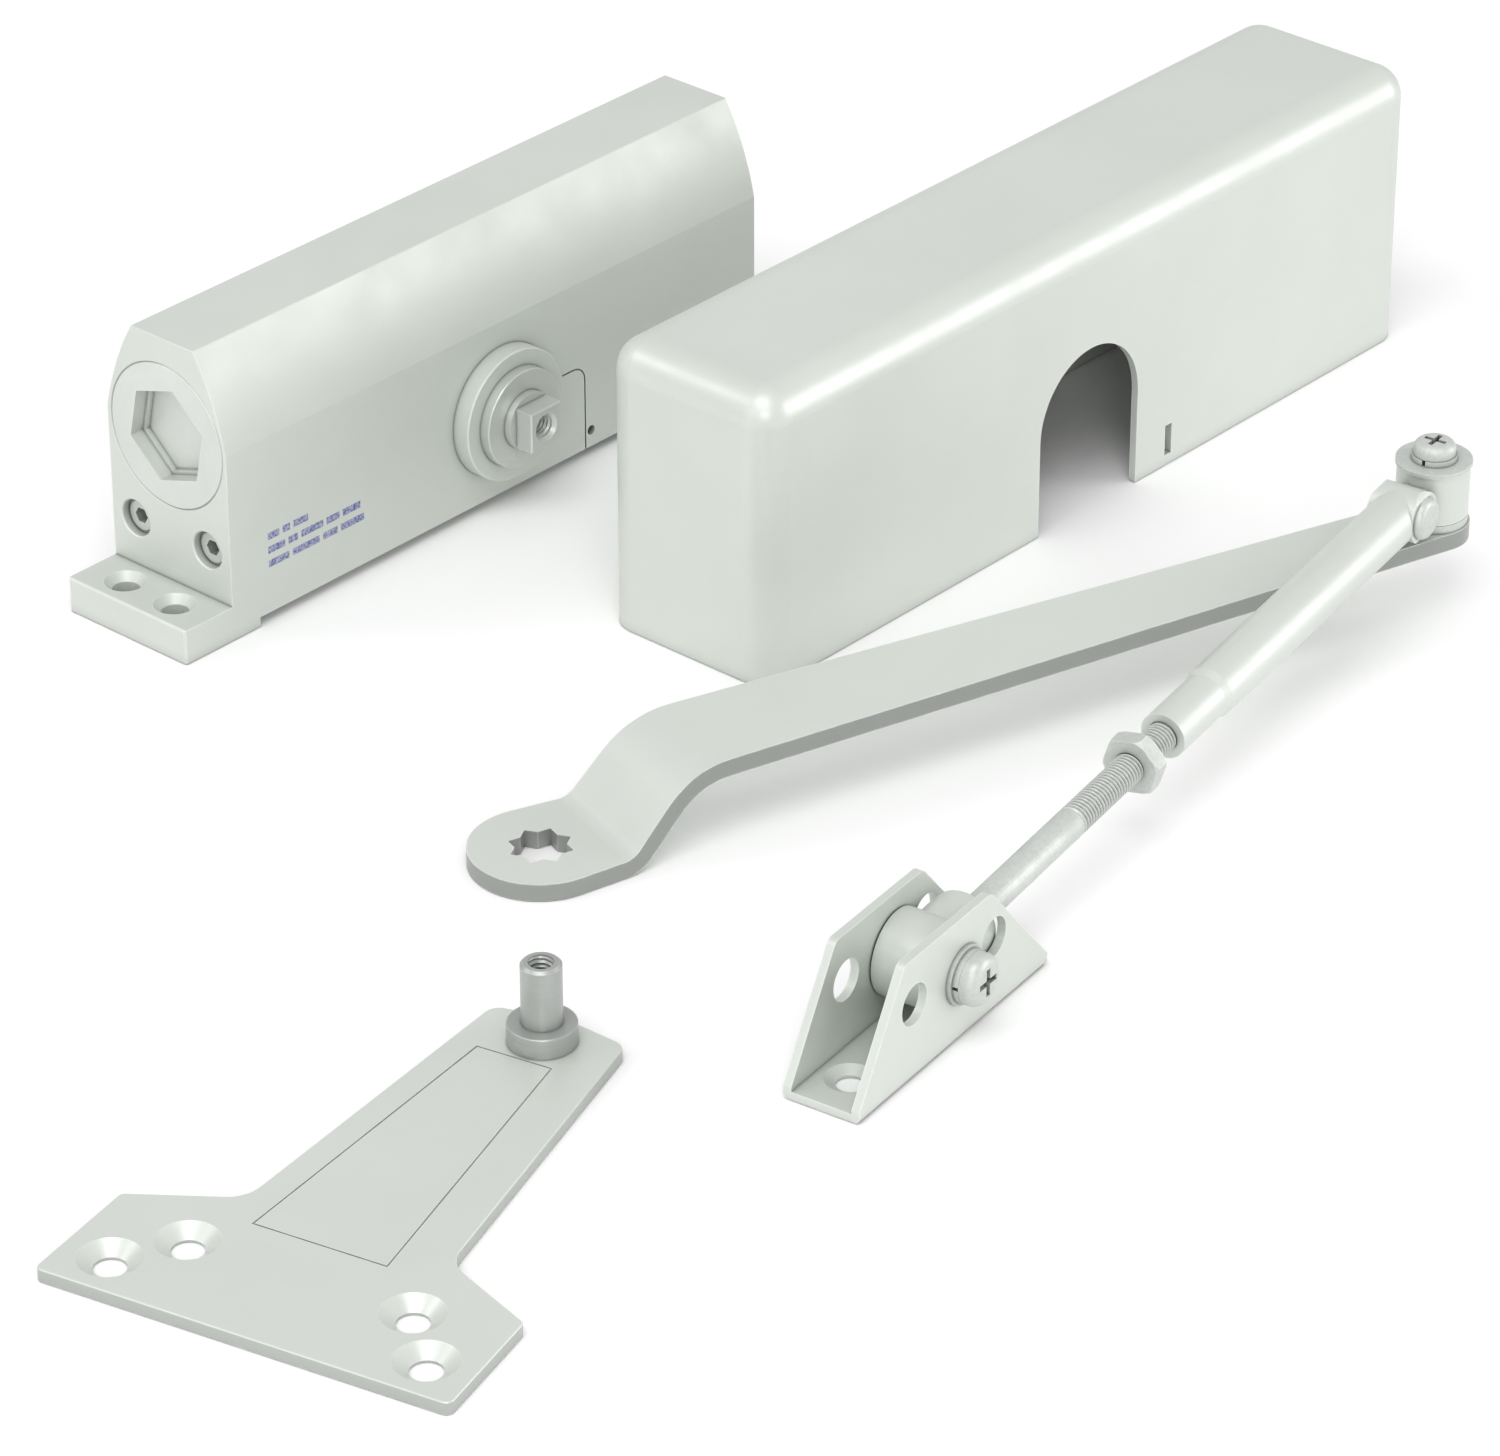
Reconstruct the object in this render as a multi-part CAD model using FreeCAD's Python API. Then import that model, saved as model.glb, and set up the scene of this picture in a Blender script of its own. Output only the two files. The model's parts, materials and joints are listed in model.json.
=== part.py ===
"""Surface-mounted door closer, laid out as a kit: body, full cover, arm set and parallel-arm bracket.

Millimetres. The origin is the centre of the body's mounting face, which is the plane z = 0.
+X runs along the body towards its spring end, -Y is the side that the spindle comes out of, and +Z
points away from the door. The cover, the arm set and the bracket stand on the same plane.
"""
import FreeCAD, Part
import math
import os

V = FreeCAD.Vector
X_AXIS = V(1, 0, 0)
Y_AXIS = V(0, 1, 0)
Z_AXIS = V(0, 0, 1)

# Body casting
BODY_HALF = 106.2
BODY_HALF_W = 22.65
BODY_TOP_HALF_W = 11.7
BODY_Z0 = 2.9
BODY_SHOULDER_Z = 56.0
BODY_TOP_Z = 83.8
EDGE_SOFT = 0.5
SHOULDER_BULGE = 1.3
FOOT_END = 124.05
FOOT_LENGTH = 28.0
FOOT_HALF_W = BODY_HALF_W
FOOT_T = 10.3
LUG_PITCH_X = 230.2
LUG_PITCH_Y = 19.05
LUG_HOLE_R = 3.9
LUG_SINK_R = 5.9
LUG_SINK_DEPTH = 2.4

# Cylinder bore, end caps and valves
BORE_Z = 54.5
BORE_R = 17.0
CAP_R = 21.2
CAP_T = 12.2
RIM_CHAMFER = 0.35
CAP_HEX_R = 14.8
CAP_HEX_TURN = 42.0
CAP_HEX_DEPTH = 4.5
CAP_HEX_STEP = 1.6
CAP_HEX_LEDGE = 1.2
CAP_SEAL_T = 1.5
VALVE_Y = 13.8
VALVE_Z = 24.5
VALVE_R = 4.4
VALVE_SINK_R = 5.4
VALVE_SINK_DEPTH = 2.8
VALVE_HEAD_DEPTH = 2.2
VALVE_DEPTH = 19.0
VALVE_HEX_R = 2.4
VALVE_HEX_DEPTH = 3.5
VALVE_FIT = 0.06
VALVE_NECK = 2.2
VALVE_NECK_CUT = 1.4
VALVE_HEAD_LENGTH = 7.0
VALVE_TAPER = 5.0

# Spindle, pinion and rack
SPINDLE_X = 0.0
SPINDLE_Z = 29.0
BOSS_R = 19.6
BOSS_Y = -28.25
GLAND_R = 14.7
GLAND_Y = -31.6
GLAND_INNER_Y = -20.0
GLAND_BACK_Y = 18.6
SEAL_Y = (-27.0, -24.0)
SEAL_W = 2.5
SHAFT_FIT = 0.05
CHAMBER_R = 13.2
SHAFT_R = 8.6
SHAFT_SHOULDER_Y = -33.8
SQUARE = 12.0
SQUARE_END_Y = -39.6
SPINDLE_TAP_R = 3.3
SPINDLE_TAP_DEPTH = 14.0
SPINDLE_TAP_MOUTH_R = 4.3
BEARING_Y = (12.6, 18.0)
PINION_HALF_W = 6.5
TEETH = 16
PITCH_R = 11.0
TOOTH_PITCH = 2 * math.pi * PITCH_R / TEETH
TIP_R = PITCH_R + 1.2
ROOT_R = PITCH_R - 1.7
TOOTH_ROOT_HALF = 1.35
TOOTH_TIP_HALF = 0.5
STROKE = PITCH_R * math.pi

# Piston and spring
PISTON_R = 16.95
PISTON_X0 = SPINDLE_X - 54.6
PISTON_X1 = SPINDLE_X + 21.4
PISTON_HEAD = 8.0
RACK_TIPS_Z = SPINDLE_Z + PITCH_R - 1.2
RACK_ROOTS_Z = SPINDLE_Z + PITCH_R + 1.6
SPACE_TIP_HALF = 1.75
SPACE_ROOT_HALF = 0.85
PISTON_SEAL_X = PISTON_X0 + 2.5
PISTON_SEAL_W = 2.5
PISTON_SEAL_T = 2.0
CHECK_VALVE_R = 3.0
CHECK_VALVE_T = 5.0
CHECK_BALL_R = 1.9
SPRING_R = 12.4
SPRING_WIRE_R = 1.9
SPRING_TURNS = 7
SPRING_SEAT_T = 3.0

# Panel and cover screw beside the spindle
PANEL_RIGHT = 34.2
PANEL_TOP_Z = 30.0
PANEL_CORNER_R = 5.0
PANEL_LINE_W = 0.6
PANEL_LINE_DEPTH = 0.4
COVER_SCREW_DX = 36.3
COVER_SCREW_Z = 8.0
COVER_SCREW_R = 1.5
COVER_SCREW_DEPTH = 9.0

# Cover
COVER_L = 283.0
COVER_W = 58.6
COVER_H = 86.2
COVER_WALL = 2.2
COVER_R = 9.5
COVER_X0 = -31.7
COVER_Y1 = -90.2
NOTCH_DX = -5.8
NOTCH_R = 21.6
NOTCH_Z = 29.2
SLOT_W = 3.0
SLOT_H = 9.5

# Main arm
ARM_HOLE = (-134.8, -162.8)
ARM_ANGLE = -18.44
ARM_LENGTH = 275.1
ARM_T = 5.0
ARM_RISE = 20.0
ARM_HEAD_R = 19.0
ARM_BEND_START = 19.5
ARM_BEND_END = 37.5
ARM_LOW_R = 6.0
ARM_HIGH_R = 20.0
ARM_WIDE = 16.3
ARM_NARROW = 10.6
STAR_SQUARE = 12.4

# Elbow, from the arm's top face up
ARM_TOP = ARM_RISE + ARM_T
STUD_R = 4.5
STUD_BORE_R = 2.4
SPACER_R = 10.0
SPACER_T = 2.4
KNUCKLE_R = 10.0
KNUCKLE_H = 14.4
AXIAL_GAP = 0.15
WASHER_R = 10.5
WASHER_T = 1.2
LOCK_RING_R = 6.2
LOCK_RING_T = 1.6
PAN_HEAD_R = 5.8
PAN_HEAD_H = 3.8
CROSS_DEPTH = 1.8

# Forearm, along its own axis from the elbow
FOREARM_ANGLE = 187.8
SHOE_DISTANCE = 256.6
PIVOT_S = 17.6
TUBE_R = 7.2
CHEEK_HALF_W = 6.9
CHEEK_ROUND_R = 9.0
NECK_R = 6.5
TUBE_SHOULDER_S = 120.0
TUBE_NECK_S = 122.5
TUBE_END_S = 143.4
TONGUE_HALF_W = 3.0
TONGUE_HALF_H = 4.0
TONGUE_REACH = 6.0
POCKET_HALF_W = 3.3
POCKET_HALF_H = 6.0
RIVET_R = 2.5
RIVET_HEAD = (5.9, 2.2)
RIVET_TAIL = (4.4, 0.7)
ROD_R = 4.2
ROD_START_S = 102.0
NUT_S = 155.0
NUT_T = 5.0
NUT_R = 8.6

# Shoe
SHOE_X = (-40.0, 46.0)
SHOE_HALF_W = 11.0
SHOE_SHEET = 2.4
SHOE_H = 35.0
SHOE_TOP_X = (-12.5, 26.5)
SHOE_LIP_Z = 3.5
SHOE_PIN_Z = 18.5
SHOE_HOLE_X = (-14.0, 22.0)
SHOE_HOLE_Z = 21.5
SHOE_HOLE_R = 5.6
SHOE_FIX_X = (-27.0, 33.0)
SHOE_FIX_R = 3.8
SHOE_FIX_SINK_R = 6.6
SHOE_FIX_LAND = 0.9
END_BARREL_R = 11.5
END_COLLAR_R = 9.6
END_COLLAR_LENGTH = 20.0
END_COLLAR_SOFT = 3.2
ROD_SEAT = 1.0
SHOE_SCREW_R = 3.0
SHOE_WASHER_R = 7.9
SHOE_WASHER_T = 1.2
SHOE_LOCK_RING_R = 7.0
SHOE_HEAD_R = 6.9
SHOE_HEAD_H = 4.4

# Parallel-arm bracket, in its own plan frame: x from the front edge, y across
BRACKET_FRONT = (-333.6, -254.8)
BRACKET_ANGLE = 13.1
BRACKET_T = 3.5
BRACKET_HALF = 55.6
BRACKET_SIDE = 35.0
BRACKET_NECK = (47.5, 27.8)
BRACKET_TIP = (146.0, 18.8)
BRACKET_POINT = 149.5
BRACKET_CORNERS = (2.0, 2.0, 9.0, 4.0)
BRACKET_SCREWS = ((11.8, 42.5), (26.2, 30.4))
BRACKET_HOLE_R = 4.1
BRACKET_SINK_R = 8.0
BRACKET_LAND = 0.6
PANEL_A = (39.0, 18.2)
PANEL_B = (128.5, 10.4)
PANEL_SHIFT = 2.4
PANEL_GROOVE = 0.5
STUD_S = 138.0
STUD_FLANGE_R = 8.8
STUD_FLANGE_H = 5.8
STUD_PIN_R = 5.2
STUD_PIN_H = 17.0
STUD_TAP_R = 3.3
STUD_TAP_DEPTH = 12.0

# The forearm's fall from the elbow pivot to the shoe's screw
PIVOT_Z = ARM_TOP + SPACER_T + AXIAL_GAP + KNUCKLE_H / 2
FALL = math.degrees(math.atan2(PIVOT_Z - SHOE_PIN_Z, SHOE_DISTANCE - PIVOT_S))


def box(x0, x1, y0, y1, z0, z1):
    return Part.makeBox(x1 - x0, y1 - y0, z1 - z0, V(x0, y0, z0))


def rod_x(r, x0, x1, y, z):
    return Part.makeCylinder(r, x1 - x0, V(x0, y, z), X_AXIS)


def rod_y(r, y0, y1, x, z):
    return Part.makeCylinder(r, y1 - y0, V(x, y0, z), Y_AXIS)


def rod_z(r, z0, z1, x=0.0, y=0.0):
    return Part.makeCylinder(r, z1 - z0, V(x, y, z0), Z_AXIS)


def ring_z(r_out, r_in, z0, z1):
    return rod_z(r_out, z0, z1).cut(rod_z(r_in, z0 - 1, z1 + 1))


def polygon_solid(points, sweep):
    """A closed outline of 3-D points, extruded by the vector sweep."""
    return Part.Face(Part.makePolygon(points + points[:1])).extrude(sweep)


def hexagon(r, centre, axis, depth, turn=0.0):
    """A hexagonal prism of corner radius r along X, Y or Z."""
    points = []
    for i in range(6):
        a = math.radians(60 * i + turn)
        u = r * math.cos(a)
        w = r * math.sin(a)
        offset = {"x": V(0, u, w), "y": V(u, 0, w), "z": V(u, w, 0)}[axis]
        points.append(centre + offset)
    along = {"x": X_AXIS, "y": Y_AXIS, "z": Z_AXIS}[axis]
    return polygon_solid(points, along * depth)


def edges_where(shape, test):
    return [e for e in shape.Edges if test(e)]


def circles_of(shape, r, axis, level, y=None):
    """The circular edges of radius r, square to an axis, at a level along it."""

    def wanted(e):
        if not isinstance(e.Curve, Part.Circle):
            return False
        centre = e.Curve.Center
        beside = y is None or abs(centre.y - y) < 1e-6
        return abs(e.Curve.Radius - r) < 1e-6 and abs(centre.dot(axis) - level) < 1e-6 and beside

    return edges_where(shape, wanted)


def edges_at_height(shape, z):
    """The edges that lie wholly at height z."""

    def level(e):
        return abs(e.BoundBox.ZMin - z) < 1e-6 and abs(e.BoundBox.ZMax - z) < 1e-6

    return edges_where(shape, level)


def place(shape, corner, angle):
    """Turns a shape about Z and carries its origin to a point of the plane z = 0."""
    moved = shape.copy()
    moved.rotate(V(0, 0, 0), Z_AXIS, angle)
    moved.translate(V(corner[0], corner[1], 0))
    return moved


def save(name, shape):
    shape.exportStep("parts/" + name + ".step")


# ---------------------------------------------------------------- closer body

def body_section():
    """The cross-section across the body: straight sides, bulged shoulders, flat top."""
    right_low = V(0, BODY_HALF_W, BODY_Z0)
    right = V(0, BODY_HALF_W, BODY_SHOULDER_Z)
    top_right = V(0, BODY_TOP_HALF_W, BODY_TOP_Z)
    half_chord = (right + top_right) * 0.5
    chord = top_right - right
    outward = V(0, chord.z, -chord.y).normalize()
    bulge = half_chord + outward * SHOULDER_BULGE

    def mirror(p):
        return V(p.x, -p.y, p.z)

    edges = [
        Part.LineSegment(mirror(right_low), right_low).toShape(),
        Part.LineSegment(right_low, right).toShape(),
        Part.Arc(right, bulge, top_right).toShape(),
        Part.LineSegment(top_right, mirror(top_right)).toShape(),
        Part.Arc(mirror(top_right), mirror(bulge), mirror(right)).toShape(),
        Part.LineSegment(mirror(right), mirror(right_low)).toShape(),
    ]
    return Part.Face(Part.Wire(edges))


def lug_holes():
    holes = []
    for x in (-LUG_PITCH_X / 2, LUG_PITCH_X / 2):
        for y in (-LUG_PITCH_Y / 2, LUG_PITCH_Y / 2):
            holes.append(rod_z(LUG_HOLE_R, -1, FOOT_T + 1, x, y))
            cone = Part.makeCone(
                LUG_HOLE_R, LUG_SINK_R, LUG_SINK_DEPTH, V(x, y, FOOT_T - LUG_SINK_DEPTH), Z_AXIS
            )
            holes.append(cone)
    return holes


def rounded_corner(x1, z1, r, y0, y1):
    """A block that reaches right to x1 and up to z1, with that upper right corner rounded."""
    block = box(SPINDLE_X, x1, y0, y1, BODY_Z0 - 1, z1)

    def upper_right(e):
        return e.BoundBox.XMin > x1 - 1e-6 and e.BoundBox.ZMin > z1 - 1e-6

    return block.makeFillet(r, edges_where(block, upper_right))


def panel_line():
    """The shallow line along the top and down the right side of the panel beside the boss."""
    right = SPINDLE_X + PANEL_RIGHT
    y0 = -BODY_HALF_W - 1
    y1 = -BODY_HALF_W + PANEL_LINE_DEPTH
    outer = rounded_corner(right, PANEL_TOP_Z, PANEL_CORNER_R, y0, y1)
    w = PANEL_LINE_W
    inner = rounded_corner(right - w, PANEL_TOP_Z - w, PANEL_CORNER_R - w, y0 - 1, y1 + 1)
    return outer.cut(inner)


def body_casting():
    body = body_section().extrude(V(2 * BODY_HALF, 0, 0))
    body.translate(V(-BODY_HALF, 0, 0))
    for x0 in (-FOOT_END, FOOT_END - FOOT_LENGTH):
        body = body.fuse(box(x0, x0 + FOOT_LENGTH, -FOOT_HALF_W, FOOT_HALF_W, 0, FOOT_T))
    body = body.cut(panel_line())
    body = body.fuse(rod_y(BOSS_R, BOSS_Y, -BODY_HALF_W + 1, SPINDLE_X, SPINDLE_Z))
    screw_x = SPINDLE_X + COVER_SCREW_DX
    cuts = [
        rod_x(BORE_R, -BODY_HALF - 1, BODY_HALF + 1, 0, BORE_Z),
        rod_x(CAP_R, -BODY_HALF - 1, -BODY_HALF + CAP_T + CAP_SEAL_T, 0, BORE_Z),
        rod_x(CAP_R, BODY_HALF - CAP_T - CAP_SEAL_T, BODY_HALF + 1, 0, BORE_Z),
        rod_y(CHAMBER_R, BOSS_Y - 1, BODY_HALF_W + 1, SPINDLE_X, SPINDLE_Z),
        rod_y(COVER_SCREW_R, -BODY_HALF_W - 1, -BODY_HALF_W + COVER_SCREW_DEPTH, screw_x, COVER_SCREW_Z),
    ]
    for y in (-VALVE_Y, VALVE_Y):
        cuts.append(rod_x(VALVE_R, -BODY_HALF - 1, -BODY_HALF + VALVE_DEPTH + 1, y, VALVE_Z))
        cuts.append(rod_x(VALVE_SINK_R, -BODY_HALF - 1, -BODY_HALF + VALVE_SINK_DEPTH, y, VALVE_Z))
    for tool in cuts + lug_holes():
        body = body.cut(tool)
    body = body.removeSplitter()
    rims = circles_of(body, BOSS_R, Y_AXIS, BOSS_Y)
    rims += circles_of(body, CAP_R, X_AXIS, -BODY_HALF) + circles_of(body, CAP_R, X_AXIS, BODY_HALF)
    for y in (-VALVE_Y, VALVE_Y):
        rims += circles_of(body, VALVE_SINK_R, X_AXIS, -BODY_HALF, y)
    body = body.makeChamfer(RIM_CHAMFER, rims)

    def is_ridge(e):
        return e.BoundBox.XLength > BODY_HALF and e.BoundBox.ZMin > BODY_SHOULDER_Z - 0.01

    def is_foot_rim(e):
        return abs(abs(e.CenterOfMass.x) - FOOT_END) < 1e-6 and e.CenterOfMass.z > 1

    body = body.makeFillet(EDGE_SOFT, edges_where(body, is_ridge))
    return body.makeChamfer(EDGE_SOFT, edges_where(body, is_foot_rim))


def end_cap(sign):
    """A threaded plug, flush with the end face, with a stepped hexagonal socket."""
    outer = sign * BODY_HALF
    inner = sign * (BODY_HALF - CAP_T)
    cap = rod_x(CAP_R, min(outer, inner), max(outer, inner), 0, BORE_Z)
    inner_r = CAP_HEX_R - CAP_HEX_LEDGE
    for r, depth in ((CAP_HEX_R, CAP_HEX_DEPTH), (inner_r, CAP_HEX_DEPTH + CAP_HEX_STEP)):
        start = outer if sign < 0 else outer - depth
        cap = cap.cut(hexagon(r, V(start, 0, BORE_Z), "x", depth, CAP_HEX_TURN))
    return cap.makeChamfer(RIM_CHAMFER, circles_of(cap, CAP_R, X_AXIS, outer))


def end_cap_seals():
    near = -BODY_HALF + CAP_T
    far = BODY_HALF - CAP_T - CAP_SEAL_T
    rings = []
    for x in (near, far):
        ring = rod_x(CAP_R, x, x + CAP_SEAL_T, 0, BORE_Z)
        rings.append(ring.cut(rod_x(BORE_R + 0.4, x - 1, x + CAP_SEAL_T + 1, 0, BORE_Z)))
    return Part.Compound(rings)


def spindle_ring(r_out, r_in, y0, y1):
    ring = rod_y(r_out, y0, y1, SPINDLE_X, SPINDLE_Z)
    return ring.cut(rod_y(r_in, y0 - 1, y1 + 1, SPINDLE_X, SPINDLE_Z))


def spindle_gland_front():
    bore = SHAFT_R + SHAFT_FIT
    flange = spindle_ring(GLAND_R, bore, GLAND_Y, BOSS_Y)
    thread = spindle_ring(CHAMBER_R, bore, BOSS_Y, GLAND_INNER_Y)
    seal_seat = spindle_ring(SHAFT_R + SEAL_W, SHAFT_R, *SEAL_Y)
    gland = flange.fuse(thread).cut(seal_seat).removeSplitter()
    return gland.makeFillet(EDGE_SOFT, circles_of(gland, GLAND_R, Y_AXIS, GLAND_Y))


def spindle_gland_back():
    return rod_y(CHAMBER_R, GLAND_BACK_Y, BODY_HALF_W, SPINDLE_X, SPINDLE_Z)


def spindle_seal():
    return spindle_ring(SHAFT_R + SEAL_W, SHAFT_R + SHAFT_FIT, *SEAL_Y)


def pinion_bearing(y0, y1):
    return spindle_ring(CHAMBER_R, SHAFT_R + SHAFT_FIT, y0, y1)


def pinion_tooth(angle):
    """One straight-flanked tooth, widest at the root, centred on an angle in the X-Z plane."""
    inner = ROOT_R - 0.6
    profile = [
        (-TOOTH_ROOT_HALF, inner),
        (TOOTH_ROOT_HALF, inner),
        (TOOTH_TIP_HALF, TIP_R),
        (-TOOTH_TIP_HALF, TIP_R),
    ]
    points = [V(SPINDLE_X + u, -PINION_HALF_W, SPINDLE_Z + w) for u, w in profile]
    tooth = polygon_solid(points, V(0, 2 * PINION_HALF_W, 0))
    tooth.rotate(V(SPINDLE_X, 0, SPINDLE_Z), Y_AXIS, angle)
    return tooth


def pinion_shaft():
    shaft = rod_y(SHAFT_R, SHAFT_SHOULDER_Y, BEARING_Y[1], SPINDLE_X, SPINDLE_Z)
    shaft = shaft.fuse(rod_y(ROOT_R, -PINION_HALF_W, PINION_HALF_W, SPINDLE_X, SPINDLE_Z))
    half = SQUARE / 2
    square = box(-half, half, SQUARE_END_Y, SHAFT_SHOULDER_Y + 1, -half, half)
    square.translate(V(SPINDLE_X, 0, SPINDLE_Z))
    shaft = shaft.fuse(square)
    for i in range(TEETH):
        shaft = shaft.fuse(pinion_tooth(360.0 / TEETH * i))
    tap_end_y = SQUARE_END_Y + SPINDLE_TAP_DEPTH
    tap = rod_y(SPINDLE_TAP_R, SQUARE_END_Y - 1, tap_end_y, SPINDLE_X, SPINDLE_Z)
    mouth_depth = SPINDLE_TAP_MOUTH_R - SPINDLE_TAP_R
    mouth_at = V(SPINDLE_X, SQUARE_END_Y, SPINDLE_Z)
    mouth = Part.makeCone(SPINDLE_TAP_MOUTH_R, SPINDLE_TAP_R, mouth_depth, mouth_at, Y_AXIS)
    shaft = shaft.cut(tap).cut(mouth).removeSplitter()

    def is_tip(e):
        return abs(e.BoundBox.YMax - SQUARE_END_Y) < 1e-6 and e.Length < SQUARE + 1

    return shaft.makeChamfer(RIM_CHAMFER, edges_where(shaft, is_tip))


def piston():
    """A double-headed piston with a rack cut along its underside."""
    body = rod_x(PISTON_R, PISTON_X0, PISTON_X1, 0, BORE_Z)
    flat = box(PISTON_X0 + PISTON_HEAD, PISTON_X1 - PISTON_HEAD, -PISTON_R, PISTON_R, 0, RACK_TIPS_Z)
    body = body.cut(flat)
    rack_x0 = SPINDLE_X - STROKE - TOOTH_PITCH * 1.5
    rack_x1 = SPINDLE_X + TOOTH_PITCH * 1.5
    for x0, x1 in ((PISTON_X0 + PISTON_HEAD, rack_x0), (rack_x1, PISTON_X1 - PISTON_HEAD)):
        body = body.cut(box(x0, x1, -PISTON_R, PISTON_R, 0, RACK_ROOTS_Z))
    spaces = int((rack_x1 - rack_x0) / TOOTH_PITCH)
    for i in range(-spaces, 3):
        x = SPINDLE_X + TOOTH_PITCH * i
        if rack_x0 < x < rack_x1:
            profile = [
                (-SPACE_TIP_HALF, RACK_TIPS_Z - 0.2),
                (SPACE_TIP_HALF, RACK_TIPS_Z - 0.2),
                (SPACE_ROOT_HALF, RACK_ROOTS_Z),
                (-SPACE_ROOT_HALF, RACK_ROOTS_Z),
            ]
            points = [V(x + u, -PISTON_R, w) for u, w in profile]
            body = body.cut(polygon_solid(points, V(0, 2 * PISTON_R, 0)))
    valve = rod_x(CHECK_VALVE_R, PISTON_X0 - 1, PISTON_X0 + CHECK_VALVE_T + 4, 0, BORE_Z)
    passage = rod_x(1.5, PISTON_X0, PISTON_X1 + 1, 0, BORE_Z)
    return body.cut(piston_ring(PISTON_R + 1)).cut(valve).cut(passage)


def piston_ring(r):
    """A ring of outer radius r that fills the piston's seal groove."""
    end = PISTON_SEAL_X + PISTON_SEAL_W
    ring = rod_x(r, PISTON_SEAL_X, end, 0, BORE_Z)
    return ring.cut(rod_x(PISTON_R - PISTON_SEAL_T, PISTON_SEAL_X - 1, end + 1, 0, BORE_Z))


def piston_seal():
    return piston_ring(PISTON_R - 0.1)


def piston_check_valve():
    """A short threaded seat with a through hole, let into the piston's head, and its ball."""
    seat_end = PISTON_X0 + CHECK_VALVE_T
    seat = rod_x(CHECK_VALVE_R, PISTON_X0, seat_end, 0, BORE_Z)
    seat = seat.cut(rod_x(1.2, PISTON_X0 - 1, seat_end + 1, 0, BORE_Z))
    ball = Part.makeSphere(CHECK_BALL_R, V(seat_end + 1.6, 0, BORE_Z))
    return Part.Compound([seat, ball])


def spring_seat():
    far = BODY_HALF - CAP_T
    disc = rod_x(BORE_R - 0.3, far - SPRING_SEAT_T, far, 0, BORE_Z)
    return disc.fuse(rod_x(8.0, far - SPRING_SEAT_T - 6, far, 0, BORE_Z)).removeSplitter()


def main_spring():
    """A plain helix between the piston and the spring seat."""
    start = PISTON_X1 + SPRING_WIRE_R + 0.2
    end = BODY_HALF - CAP_T - SPRING_SEAT_T - SPRING_WIRE_R - 0.2
    height = end - start
    helix = Part.makeHelix(height / SPRING_TURNS, height, SPRING_R)
    wire_circle = Part.Wire(Part.makeCircle(SPRING_WIRE_R, V(SPRING_R, 0, 0), Y_AXIS))
    coil = Part.Wire(helix.Edges).makePipeShell([wire_circle], True, True)
    coil.rotate(V(0, 0, 0), Y_AXIS, 90)
    coil.translate(V(start, 0, BORE_Z))
    return coil


def valve_neck_x():
    return -BODY_HALF + VALVE_HEAD_DEPTH + VALVE_HEAD_LENGTH


def valve_screw(y):
    """A speed-adjusting screw: socket head sunk in its counterbore, seal neck, tapered tip."""
    head_x = -BODY_HALF + VALVE_HEAD_DEPTH
    neck_x = valve_neck_x()
    taper_x = -BODY_HALF + VALVE_DEPTH - VALVE_TAPER
    r = VALVE_R - VALVE_FIT
    screw = rod_x(r, head_x, neck_x, y, VALVE_Z)
    screw = screw.fuse(rod_x(r - VALVE_NECK_CUT, neck_x, neck_x + VALVE_NECK, y, VALVE_Z))
    screw = screw.fuse(rod_x(r, neck_x + VALVE_NECK, taper_x, y, VALVE_Z))
    screw = screw.fuse(Part.makeCone(r, 0.8, VALVE_TAPER, V(taper_x, y, VALVE_Z), X_AXIS))
    screw = screw.cut(hexagon(VALVE_HEX_R, V(head_x, y, VALVE_Z), "x", VALVE_HEX_DEPTH))
    return screw.removeSplitter()


def valve_seal(y):
    start = valve_neck_x()
    r = VALVE_R - VALVE_FIT
    ring = rod_x(r, start + 0.2, start + VALVE_NECK - 0.2, y, VALVE_Z)
    return ring.cut(rod_x(r - VALVE_NECK_CUT, start - 1, start + VALVE_NECK + 1, y, VALVE_Z))


# ---------------------------------------------------------------- cover

def rounded_block(x0, x1, y0, y1, z1, r):
    """A block from z = 0 with its upright and top edges rounded."""
    block = box(x0, x1, y0, y1, 0, z1)
    outer = edges_where(block, lambda e: e.BoundBox.ZMax > z1 - 1e-6)
    return block.makeFillet(r, outer)


def cover_shell():
    t = COVER_WALL
    y0 = COVER_Y1 - COVER_W
    shell = rounded_block(COVER_X0, COVER_X0 + COVER_L, y0, COVER_Y1, COVER_H, COVER_R)
    inner = rounded_block(
        COVER_X0 + t, COVER_X0 + COVER_L - t, y0 + t, COVER_Y1 - t, COVER_H - t, COVER_R - t
    )
    shell = shell.cut(inner)
    notch_x = COVER_X0 + COVER_L / 2 + NOTCH_DX
    shell = shell.cut(rod_y(NOTCH_R, y0 - 1, y0 + t + 1, notch_x, NOTCH_Z))
    shell = shell.cut(box(notch_x - NOTCH_R, notch_x + NOTCH_R, y0 - 1, y0 + t + 1, -1, NOTCH_Z))
    slot_x = notch_x + COVER_SCREW_DX
    low = COVER_SCREW_Z - SLOT_H / 2
    slot = box(slot_x - SLOT_W / 2, slot_x + SLOT_W / 2, y0 - 1, y0 + t + 1, low, low + SLOT_H)
    return shell.cut(slot)


# ---------------------------------------------------------------- arm set

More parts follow.
